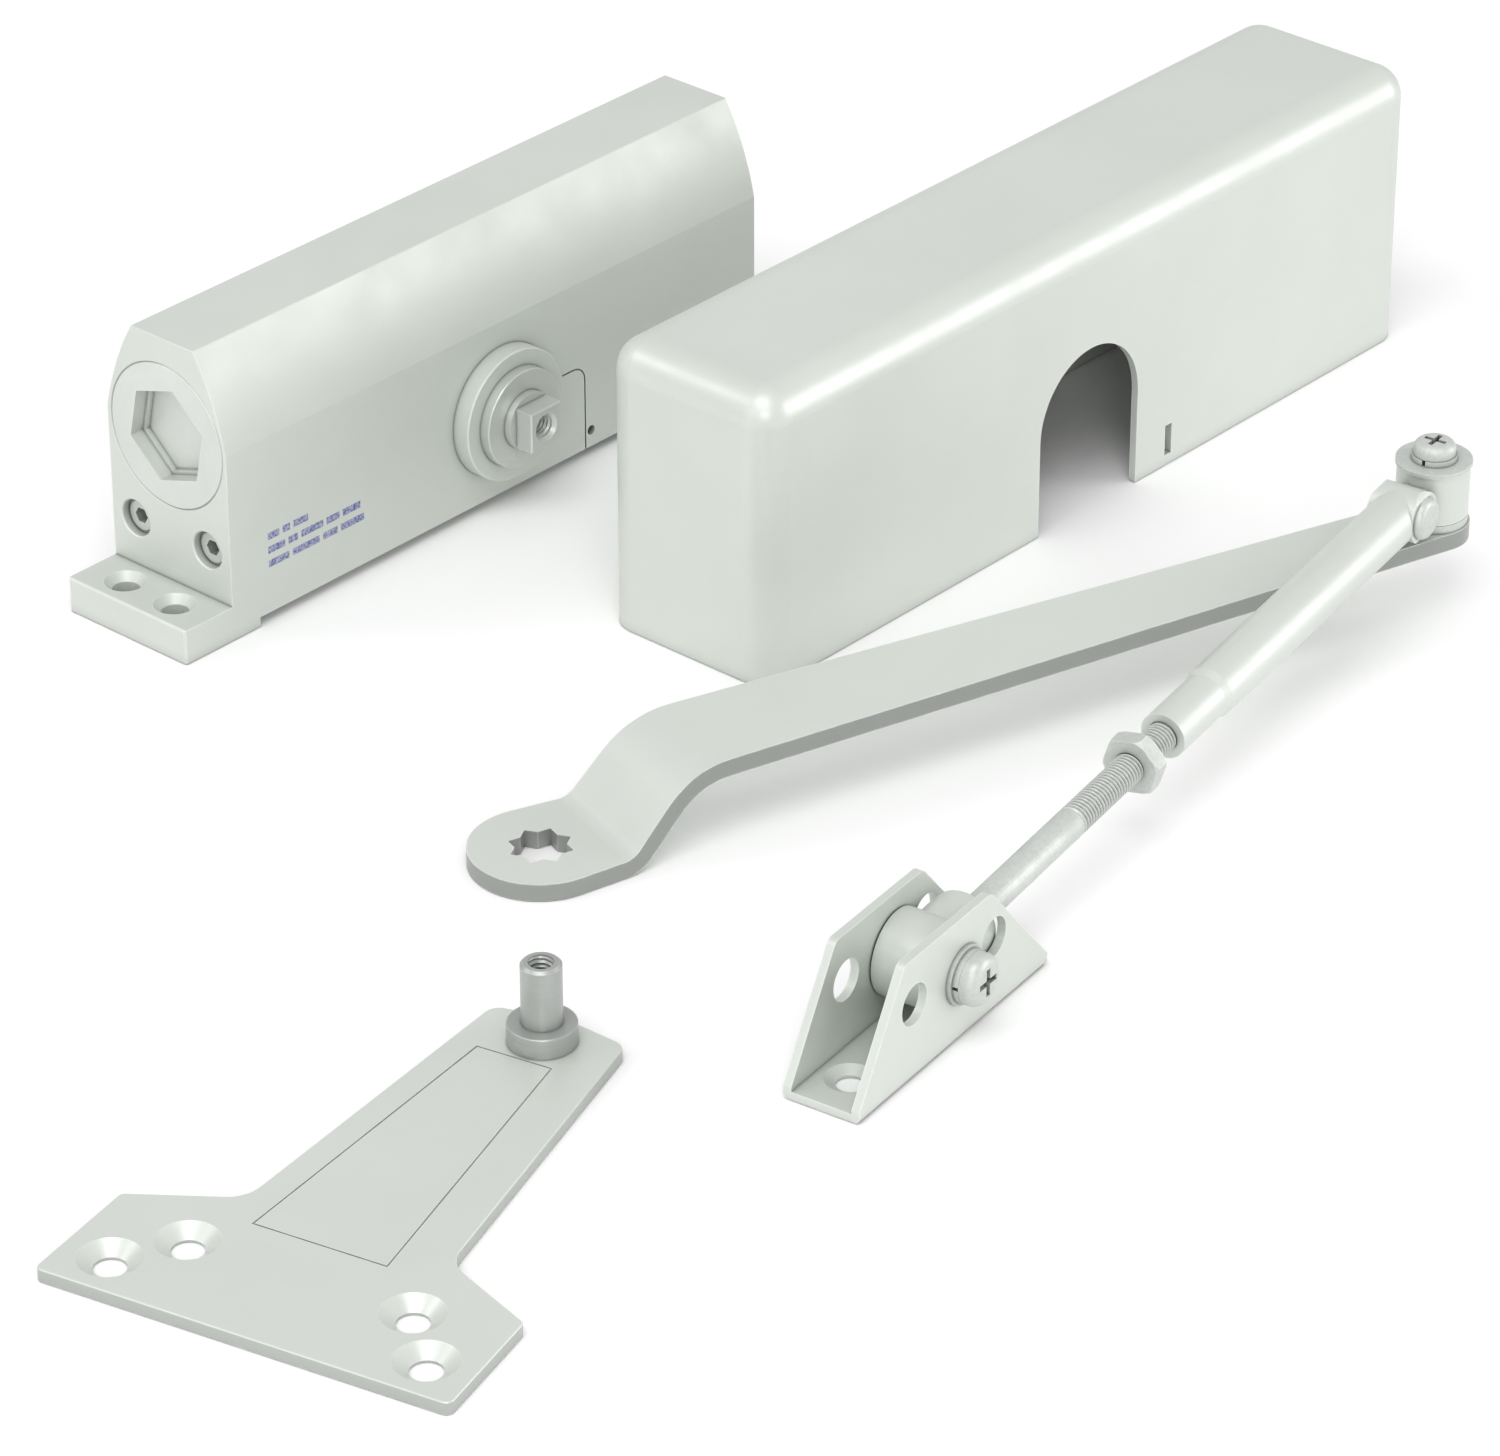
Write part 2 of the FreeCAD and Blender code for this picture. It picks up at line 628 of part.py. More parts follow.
def arm_plan():
    """The arm's outline from above: round head, bar tangent to it and tapering, round elbow end."""
    depth = ARM_TOP + 2
    head = rod_z(ARM_HEAD_R, -1, depth)
    reach = math.hypot(ARM_BEND_END, ARM_WIDE)
    touch = math.atan2(ARM_WIDE, ARM_BEND_END) + math.acos(ARM_HEAD_R / reach)
    neck = [
        V(ARM_HEAD_R * math.cos(touch), ARM_HEAD_R * math.sin(touch), -1),
        V(ARM_BEND_END, ARM_WIDE, -1),
        V(ARM_LENGTH, ARM_NARROW, -1),
    ]
    outline = neck + [V(p.x, -p.y, p.z) for p in reversed(neck)]
    bar = polygon_solid(outline, V(0, 0, depth + 1))
    return head.fuse(bar).fuse(rod_z(ARM_NARROW, -1, depth, ARM_LENGTH))


def arm_profile():
    """The cranked strip seen from the side, before its plan outline is cut."""
    t = ARM_T
    slope = math.atan2(ARM_RISE, ARM_BEND_END - ARM_BEND_START)
    shift = t * math.tan(slope / 2)
    far = ARM_LENGTH + 30
    w = 2 * ARM_HEAD_R
    lower = [(-30, 0), (ARM_BEND_START, 0), (ARM_BEND_END, ARM_RISE), (far, ARM_RISE)]
    upper = [
        (far, ARM_RISE + t),
        (ARM_BEND_END - shift, ARM_RISE + t),
        (ARM_BEND_START - shift, t),
        (-30, t),
    ]
    strip = polygon_solid([V(x, -w, z) for x, z in lower + upper], V(0, 2 * w, 0))

    def crease(shape, x, z):
        def wanted(e):
            centre = e.CenterOfMass
            return e.BoundBox.YLength > w and abs(centre.x - x) < 1e-4 and abs(centre.z - z) < 1e-4

        return edges_where(shape, wanted)

    folds = (
        (lower[1], ARM_LOW_R + t),
        (upper[2], ARM_LOW_R),
        (lower[2], ARM_HIGH_R),
        (upper[1], ARM_HIGH_R + t),
    )
    for (x, z), r in folds:
        strip = strip.makeFillet(r, crease(strip, x, z))
    return strip


def star_socket():
    half = STAR_SQUARE / 2
    square = box(-half, half, -half, half, -1, ARM_T + 1)
    turned = square.copy()
    turned.rotate(V(0, 0, 0), Z_AXIS, 45)
    return square.fuse(turned)


def main_arm():
    arm = arm_profile().common(arm_plan())
    arm = arm.cut(star_socket())
    return arm.cut(rod_z(STUD_R, 0, ARM_TOP + 1, ARM_LENGTH))


def pan_head(z0, r, h):
    """A pan head with a cross recess, standing on z0 with its axis on the origin."""
    z1 = z0 + h
    head = rod_z(r, z0, z1)
    head = head.makeFillet(h * 0.62, edges_at_height(head, z1))
    arm_half = r * 0.55
    slot_half = r * 0.12
    recess = box(-arm_half, arm_half, -slot_half, slot_half, z1 - CROSS_DEPTH, z1 + 1)
    recess = recess.fuse(box(-slot_half, slot_half, -arm_half, arm_half, z1 - CROSS_DEPTH, z1 + 1))
    return head.cut(recess)


def split_ring(z0, r):
    ring = ring_z(r, SHOE_SCREW_R + 0.2, z0, z0 + LOCK_RING_T)
    return ring.cut(box(SHOE_SCREW_R, r + 1, -0.5, 0.5, z0 - 1, z0 + LOCK_RING_T + 1))


def elbow_levels():
    spacer = ARM_TOP
    knuckle = spacer + SPACER_T + AXIAL_GAP
    washer = knuckle + KNUCKLE_H + AXIAL_GAP
    lock_ring = washer + WASHER_T
    head = lock_ring + LOCK_RING_T
    return spacer, knuckle, washer, lock_ring, head


def elbow_stack():
    """The pieces that are fixed on the arm's elbow end, about the elbow's own axis."""
    spacer, knuckle, washer, lock_ring, head = elbow_levels()
    stud = rod_z(STUD_R, ARM_RISE, washer).cut(rod_z(STUD_BORE_R, ARM_RISE + 6, washer + 1))
    screw = pan_head(head, PAN_HEAD_R, PAN_HEAD_H).fuse(rod_z(STUD_BORE_R, head - 13, head + 0.6))
    return {
        "elbow_stud": stud,
        "elbow_spacer": ring_z(SPACER_R, STUD_R, spacer, spacer + SPACER_T),
        "elbow_flat_washer": ring_z(WASHER_R, STUD_BORE_R + 0.3, washer, washer + WASHER_T),
        "elbow_lock_washer": split_ring(lock_ring, LOCK_RING_R),
        "elbow_screw": screw.removeSplitter(),
    }


def elbow_knuckle():
    z0 = elbow_levels()[1]
    barrel = rod_z(KNUCKLE_R, z0, z0 + KNUCKLE_H)
    w = TONGUE_HALF_W
    h = TONGUE_HALF_H
    tongue = box(0, PIVOT_S + TONGUE_REACH, -w, w, PIVOT_Z - h, PIVOT_Z + h)
    knuckle = barrel.fuse(tongue)
    knuckle = knuckle.cut(rod_z(STUD_R + 0.06, z0 - 1, z0 + KNUCKLE_H + 1))
    return knuckle.cut(rod_y(RIVET_R + 0.06, -10, 10, PIVOT_S, PIVOT_Z)).removeSplitter()


def fall(shape):
    """Tips a shape that lies along +X down about the elbow's rivet."""
    tipped = shape.copy()
    tipped.rotate(V(PIVOT_S, 0, PIVOT_Z), Y_AXIS, FALL)
    return tipped


def forearm_tube():
    """The tube: slotted, flat-cheeked end at the elbow, narrower neck where the rod goes in."""
    z = PIVOT_Z
    nose = rod_y(TUBE_R, -CHEEK_HALF_W, CHEEK_HALF_W, PIVOT_S, z)
    nose = nose.common(rod_x(CHEEK_ROUND_R, 0, PIVOT_S + TUBE_R, 0, z))
    tube = nose.fuse(rod_x(TUBE_R, PIVOT_S, TUBE_SHOULDER_S, 0, z))
    tube = tube.fuse(
        Part.makeCone(TUBE_R, NECK_R, TUBE_NECK_S - TUBE_SHOULDER_S, V(TUBE_SHOULDER_S, 0, z), X_AXIS)
    )
    tube = tube.fuse(rod_x(NECK_R, TUBE_NECK_S, TUBE_END_S, 0, z))
    pocket = box(0, PIVOT_S + 10, -POCKET_HALF_W, POCKET_HALF_W, z - POCKET_HALF_H, z + POCKET_HALF_H)
    tube = tube.cut(pocket)
    tube = tube.cut(rod_x(ROD_R + 0.06, ROD_START_S - 8, TUBE_END_S + 1, 0, z))
    tube = tube.cut(rod_y(RIVET_R, -10, 10, PIVOT_S, z))
    for y0, y1 in ((-12, -CHEEK_HALF_W), (CHEEK_HALF_W, 12)):
        tube = tube.cut(rod_y(TUBE_R, y0, y1, PIVOT_S, z))
    return tube.removeSplitter()


def elbow_rivet():
    """A rivet across the cheeks: domed head on one, spread tail on the other."""
    flat = CHEEK_HALF_W
    rivet = rod_y(RIVET_R, -flat, flat, PIVOT_S, PIVOT_Z)
    for side, (r, h) in ((1, RIVET_HEAD), (-1, RIVET_TAIL)):
        crown_y = side * (flat + h)
        head = rod_y(r, min(side * flat, crown_y), max(side * flat, crown_y), PIVOT_S, PIVOT_Z)
        rivet = rivet.fuse(head.makeFillet(h * 0.9, circles_of(head, r, Y_AXIS, crown_y)))
    return rivet.removeSplitter()


def rod_axis_end():
    """Distance along the fallen forearm axis at which the shoe's screw lies."""
    return PIVOT_S + math.hypot(SHOE_DISTANCE - PIVOT_S, PIVOT_Z - SHOE_PIN_Z)


def threaded_rod():
    end = rod_axis_end() - END_BARREL_R - ROD_SEAT
    rod = rod_x(ROD_R, ROD_START_S, end, 0, PIVOT_Z)
    tip = edges_where(rod, lambda e: abs(e.BoundBox.XMax - ROD_START_S) < 1e-6)
    return rod.makeChamfer(0.8, tip)


def lock_nut():
    nut = hexagon(NUT_R, V(NUT_S, 0, PIVOT_Z), "x", NUT_T, 12)
    turned = rod_x(NUT_R, NUT_S, NUT_S + NUT_T, 0, PIVOT_Z)
    rims = edges_where(turned, lambda e: e.BoundBox.XLength < 1e-6)
    nut = nut.common(turned.makeChamfer(0.8, rims))
    return nut.cut(rod_x(ROD_R + 0.06, NUT_S - 1, NUT_S + NUT_T + 1, 0, PIVOT_Z))


def rod_end():
    """The cross barrel on the shoe's screw, with a collar that takes the rod."""
    s = rod_axis_end()
    half = SHOE_HALF_W - SHOE_SHEET - 0.35
    barrel = rod_y(END_BARREL_R, -half, half, s, PIVOT_Z)
    collar_s = s - END_COLLAR_LENGTH
    collar = rod_x(END_COLLAR_R, collar_s, s, 0, PIVOT_Z)
    collar = collar.makeFillet(END_COLLAR_SOFT, circles_of(collar, END_COLLAR_R, X_AXIS, collar_s))
    between_ears = box(collar_s - 1, s + 1, -half, half, PIVOT_Z - END_COLLAR_R, PIVOT_Z + END_COLLAR_R)
    end = barrel.fuse(collar.common(between_ears))
    end = end.cut(rod_x(ROD_R, collar_s - 1, s - END_BARREL_R - ROD_SEAT, 0, PIVOT_Z))
    return end.cut(rod_y(SHOE_SCREW_R + 0.06, -20, 20, s, PIVOT_Z)).removeSplitter()


def shoe_side(y0):
    x0, x1 = SHOE_X
    outline = [
        (x0, 0),
        (x1, 0),
        (x1, SHOE_LIP_Z),
        (SHOE_TOP_X[1], SHOE_H),
        (SHOE_TOP_X[0], SHOE_H),
        (x0, SHOE_LIP_Z),
    ]
    side = polygon_solid([V(x, y0, z) for x, z in outline], V(0, SHOE_SHEET, 0))
    corners = edges_where(side, lambda e: e.BoundBox.YLength > 1 and e.BoundBox.ZMin > SHOE_H - 0.1)
    return side.makeFillet(3.0, corners)


def shoe_bracket():
    """A channel folded from sheet: a long base and two ears, about the screw's own plan position."""
    w = SHOE_HALF_W
    x0, x1 = SHOE_X
    base = box(x0, x1, -w, w, 0, SHOE_SHEET)
    shoe = base.fuse(shoe_side(-w)).fuse(shoe_side(w - SHOE_SHEET)).removeSplitter()

    def is_fold(e):
        low_and_long = e.BoundBox.ZMax < 1e-6 and e.BoundBox.XLength > (x1 - x0) / 2
        return low_and_long and abs(abs(e.BoundBox.YMin) - w) < 1e-6

    shoe = shoe.makeFillet(1.8, edges_where(shoe, is_fold))
    for x in SHOE_HOLE_X:
        shoe = shoe.cut(rod_y(SHOE_HOLE_R, -20, 20, x, SHOE_HOLE_Z))
    sink_h = SHOE_SHEET - SHOE_FIX_LAND
    for x in SHOE_FIX_X:
        shoe = shoe.cut(rod_z(SHOE_FIX_R, -1, SHOE_SHEET + 1, x))
        sink_at = V(x, 0, SHOE_FIX_LAND)
        shoe = shoe.cut(Part.makeCone(SHOE_FIX_R, SHOE_FIX_SINK_R, sink_h, sink_at, Z_AXIS))
    return shoe.cut(rod_y(SHOE_SCREW_R, -20, 20, 0, SHOE_PIN_Z))


def shoe_fasteners():
    """Washer, lock washer and screw on one ear, built upright then laid over."""
    face = SHOE_HALF_W
    lock_z = face + SHOE_WASHER_T
    head_z = lock_z + LOCK_RING_T
    shank = rod_z(SHOE_SCREW_R, -SHOE_HALF_W, head_z + 0.6)
    screw = pan_head(head_z, SHOE_HEAD_R, SHOE_HEAD_H).fuse(shank)
    pieces = {
        "shoe_washer": ring_z(SHOE_WASHER_R, SHOE_SCREW_R + 0.3, face, lock_z),
        "shoe_lock_washer": split_ring(lock_z, SHOE_LOCK_RING_R),
        "shoe_screw": screw.removeSplitter(),
    }
    for shape in pieces.values():
        shape.rotate(V(0, 0, 0), X_AXIS, -90)
        shape.translate(V(0, 0, SHOE_PIN_Z))
    return pieces


def shoe_place(shape):
    moved = shape.copy()
    moved.translate(V(SHOE_DISTANCE, 0, 0))
    return moved


# ---------------------------------------------------------------- parallel-arm bracket

def bracket_plate():
    t = BRACKET_T
    half = [
        (0, BRACKET_HALF),
        (BRACKET_SIDE, BRACKET_HALF - 1),
        BRACKET_NECK,
        BRACKET_TIP,
        (BRACKET_POINT, 0),
    ]
    outline = half + [(x, -y) for x, y in reversed(half[:-1])]
    plate = polygon_solid([V(x, y, 0) for x, y in outline], V(0, 0, t))

    def upright(shape, x, y):
        def wanted(e):
            beside = math.hypot(e.BoundBox.XMin - x, abs(e.BoundBox.YMin) - y) < 0.01
            return e.BoundBox.ZLength > t - 0.1 and beside

        return edges_where(shape, wanted)

    for (x, y), r in zip(half[:-1], BRACKET_CORNERS):
        plate = plate.makeFillet(r, upright(plate, x, y))
    sink_h = t - BRACKET_LAND
    for x, y in BRACKET_SCREWS:
        for side in (-1, 1):
            plate = plate.cut(rod_z(BRACKET_HOLE_R, -1, t + 1, x, side * y))
            sink_at = V(x, side * y, BRACKET_LAND)
            plate = plate.cut(Part.makeCone(BRACKET_HOLE_R, BRACKET_SINK_R, sink_h, sink_at, Z_AXIS))
    plate = plate.cut(rod_z(STUD_PIN_R, -1, t + 1, STUD_S))
    plate = plate.cut(panel_groove())
    return plate.makeFillet(EDGE_SOFT, edges_where(plate, is_plate_rim))


def is_plate_rim(e):
    """True for an edge of the plate's upper outline: not a hole's, and not the panel line's."""
    along = PANEL_A[0] - 1 < e.BoundBox.XMin and e.BoundBox.XMax < PANEL_B[0] + 1
    in_panel = along and abs(e.CenterOfMass.y - PANEL_SHIFT) < PANEL_A[1] + 1
    whole_circle = isinstance(e.Curve, Part.Circle) and len(e.Vertexes) == 1
    return e.BoundBox.ZMin > BRACKET_T - 1e-6 and not in_panel and not whole_circle


def trapezoid(grow, z0, depth):
    points = [
        V(PANEL_A[0] - grow, PANEL_SHIFT + PANEL_A[1] + grow, z0),
        V(PANEL_B[0] + grow, PANEL_SHIFT + PANEL_B[1] + grow, z0),
        V(PANEL_B[0] + grow, PANEL_SHIFT - PANEL_B[1] - grow, z0),
        V(PANEL_A[0] - grow, PANEL_SHIFT - PANEL_A[1] - grow, z0),
    ]
    return polygon_solid(points, V(0, 0, depth))


def panel_groove():
    """A shallow line pressed round a tapering panel."""
    z0 = BRACKET_T - 0.3
    return trapezoid(PANEL_GROOVE / 2, z0, 1).cut(trapezoid(-PANEL_GROOVE / 2, z0 - 1, 3))


def bracket_stud():
    t = BRACKET_T
    top = t + STUD_FLANGE_H + STUD_PIN_H
    stud = rod_z(STUD_PIN_R, 0, top, STUD_S)
    rim = edges_at_height(stud, top)
    stud = stud.makeChamfer(0.7, rim)
    stud = stud.fuse(rod_z(STUD_FLANGE_R, t, t + STUD_FLANGE_H, STUD_S))
    stud = stud.cut(rod_z(STUD_TAP_R, top - STUD_TAP_DEPTH, top + 1, STUD_S)).removeSplitter()
    flange_rim = circles_of(stud, STUD_FLANGE_R, Z_AXIS, t + STUD_FLANGE_H)
    return stud.makeFillet(EDGE_SOFT, flange_rim)


# ---------------------------------------------------------------- assembly

def save_body():
    save("body_casting", body_casting())
    save("end_cap_near", end_cap(-1))
    save("end_cap_far", end_cap(1))
    save("end_cap_seals", end_cap_seals())
    save("spindle_gland_front", spindle_gland_front())
    save("spindle_gland_back", spindle_gland_back())
    save("spindle_seal", spindle_seal())
    near_y, far_y = BEARING_Y
    save("pinion_bearing_front", pinion_bearing(-far_y, -near_y))
    save("pinion_bearing_back", pinion_bearing(near_y, far_y))
    save("pinion_shaft", pinion_shaft())
    save("piston", piston())
    save("piston_seal", piston_seal())
    save("piston_check_valve", piston_check_valve())
    save("main_spring", main_spring())
    save("spring_seat", spring_seat())
    for name, y in (("sweep_valve", VALVE_Y), ("latch_valve", -VALVE_Y)):
        save(name, valve_screw(y))
        save(name + "_seal", valve_seal(y))


def save_arm_set():
    save("main_arm", place(main_arm(), ARM_HOLE, ARM_ANGLE))
    a = math.radians(ARM_ANGLE)
    elbow = (ARM_HOLE[0] + ARM_LENGTH * math.cos(a), ARM_HOLE[1] + ARM_LENGTH * math.sin(a))
    for name, shape in elbow_stack().items():
        save(name, place(shape, elbow, FOREARM_ANGLE))
    save("elbow_knuckle", place(elbow_knuckle(), elbow, FOREARM_ANGLE))
    falling = {
        "forearm_tube": forearm_tube(),
        "elbow_rivet": elbow_rivet(),
        "threaded_rod": threaded_rod(),
        "lock_nut": lock_nut(),
        "rod_end": rod_end(),
    }
    for name, shape in falling.items():
        save(name, place(fall(shape), elbow, FOREARM_ANGLE))
    save("shoe_bracket", place(shoe_place(shoe_bracket()), elbow, FOREARM_ANGLE))
    for name, shape in shoe_fasteners().items():
        save(name, place(shoe_place(shape), elbow, FOREARM_ANGLE))


def main():
    os.makedirs("parts", exist_ok=True)
    save_body()
    save("cover_shell", cover_shell())
    save_arm_set()
    save("bracket_plate", place(bracket_plate(), BRACKET_FRONT, BRACKET_ANGLE))
    save("bracket_stud", place(bracket_stud(), BRACKET_FRONT, BRACKET_ANGLE))


main()
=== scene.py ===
"""A door closer kit in a pale studio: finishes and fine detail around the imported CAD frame."""
import json
import math

import bmesh
import bpy
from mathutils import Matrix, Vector


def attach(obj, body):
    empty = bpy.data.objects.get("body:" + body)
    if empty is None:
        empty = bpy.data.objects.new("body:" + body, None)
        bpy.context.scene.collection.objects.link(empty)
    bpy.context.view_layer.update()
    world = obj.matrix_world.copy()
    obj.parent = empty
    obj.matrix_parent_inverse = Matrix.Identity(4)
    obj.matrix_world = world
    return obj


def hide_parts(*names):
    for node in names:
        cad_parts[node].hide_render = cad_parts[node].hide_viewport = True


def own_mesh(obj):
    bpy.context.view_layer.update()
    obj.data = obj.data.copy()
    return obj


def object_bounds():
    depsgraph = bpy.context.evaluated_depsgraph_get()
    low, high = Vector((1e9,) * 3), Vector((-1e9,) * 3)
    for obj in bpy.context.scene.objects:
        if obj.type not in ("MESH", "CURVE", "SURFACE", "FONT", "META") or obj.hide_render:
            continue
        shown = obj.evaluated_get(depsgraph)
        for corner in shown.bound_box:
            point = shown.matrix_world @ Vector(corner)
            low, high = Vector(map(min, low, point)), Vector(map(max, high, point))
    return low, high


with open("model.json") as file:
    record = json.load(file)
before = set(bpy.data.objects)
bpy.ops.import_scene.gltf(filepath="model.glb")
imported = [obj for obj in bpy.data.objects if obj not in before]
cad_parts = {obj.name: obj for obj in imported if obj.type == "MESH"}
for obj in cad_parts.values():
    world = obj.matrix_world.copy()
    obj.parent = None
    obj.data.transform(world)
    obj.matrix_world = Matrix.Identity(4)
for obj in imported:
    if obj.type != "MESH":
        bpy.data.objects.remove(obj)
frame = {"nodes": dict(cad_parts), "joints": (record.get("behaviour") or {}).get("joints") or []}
cad_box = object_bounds()
NODES = frame["nodes"]
JOINTS = {joint["name"]: joint for joint in frame["joints"]}
MM = 0.001

# View and studio
VIEW_AIM = Vector((-0.0489, -0.1580, 0.0))
VIEW_AZIMUTH = -48.55
VIEW_ELEVATION = 30.42
VIEW_DISTANCE = 1.70
VIEW_LENS = 154.6
SENSOR = 36.0
WORLD_LIGHT = 0.70
LAMP_DISTANCE = 4.0
FLOOR_HALF = 6.0
FLOOR_TONE = 0.93
FLOOR_DROP = 0.0002
# Name, azimuth and elevation in degrees, width and height in metres, power in watts
LAMPS = (
    ("key", -60.0, 62.0, (2.6, 2.0), 58.0),
    ("rim", 43.0, 13.0, (1.9, 2.3), 46.0),
    ("side", -92.0, 24.0, (2.0, 1.6), 10.0),
    ("front", -46.0, 24.0, (1.6, 1.2), 28.0),
    ("back", -138.0, 40.0, (1.4, 1.1), 16.0),
)

# Base colours, linear
SILVER = (0.615, 0.650, 0.605)
ZINC = (0.560, 0.585, 0.555)
STUD_GREY = (0.400, 0.420, 0.400)
STEEL = (0.640, 0.665, 0.635)
DARK_STEEL = (0.240, 0.245, 0.245)
IRON = (0.150, 0.150, 0.150)
RUBBER = (0.020, 0.020, 0.022)
INK = (0.060, 0.085, 0.270)

# Depth of each finish's texture, in metres
PAINT_PEEL = 0.00003
PAINT_GRAIN = 0.00001
LATHE_LINES = 0.000025
PLATE_SKIN = 0.00003
IRON_SKIN = 0.00008
RUBBER_SKIN = 0.00004
INK_SKIN = 0.00002


# ---------------------------------------------------------------- studio

def direction(azimuth, elevation):
    """Unit vector towards a place around the object: azimuth 0 is the front, -Y."""
    a = math.radians(azimuth)
    e = math.radians(elevation)
    return Vector((math.cos(e) * math.sin(a), -math.cos(e) * math.cos(a), math.sin(e)))


def aim(obj, target):
    """Turn a camera or lamp to look at a point."""
    obj.rotation_euler = (target - obj.location).to_track_quat("-Z", "Y").to_euler()


def add_camera():
    data = bpy.data.cameras.new("camera")
    data.lens = VIEW_LENS
    data.sensor_fit = "HORIZONTAL"
    data.sensor_width = SENSOR
    data.clip_start = 0.05
    data.clip_end = 20.0
    camera = bpy.data.objects.new("camera", data)
    bpy.context.scene.collection.objects.link(camera)
    camera.location = VIEW_AIM + direction(VIEW_AZIMUTH, VIEW_ELEVATION) * VIEW_DISTANCE
    aim(camera, VIEW_AIM)
    bpy.context.scene.camera = camera


def add_softbox(name, azimuth, elevation, size, power):
    data = bpy.data.lights.new(name, "AREA")
    data.shape = "RECTANGLE"
    data.size, data.size_y = size
    data.energy = power
    lamp = bpy.data.objects.new(name, data)
    bpy.context.scene.collection.objects.link(lamp)
    lamp.location = VIEW_AIM + direction(azimuth, elevation) * LAMP_DISTANCE
    aim(lamp, VIEW_AIM)


def add_world():
    world = bpy.data.worlds.new("studio")
    world.use_nodes = True
    background = world.node_tree.nodes["Background"]
    background.inputs["Color"].default_value = (1.0, 1.0, 1.0, 1.0)
    background.inputs["Strength"].default_value = WORLD_LIGHT
    bpy.context.scene.world = world


def add_floor():
    mesh = bpy.data.meshes.new("floor")
    bm = bmesh.new()
    bmesh.ops.create_grid(bm, x_segments=1, y_segments=1, size=FLOOR_HALF)
    bm.to_mesh(mesh)
    bm.free()
    floor = bpy.data.objects.new("floor", mesh)
    bpy.context.scene.collection.objects.link(floor)
    floor.location.z = cad_box[0][2] - FLOOR_DROP
    material = bpy.data.materials.new("floor")
    material.use_nodes = True
    shader = material.node_tree.nodes["Principled BSDF"]
    shader.inputs["Base Color"].default_value = (FLOOR_TONE, FLOOR_TONE, FLOOR_TONE, 1.0)
    shader.inputs["Roughness"].default_value = 0.9
    shader.inputs["Specular IOR Level"].default_value = 0.1
    mesh.materials.append(material)


# ---------------------------------------------------------------- materials

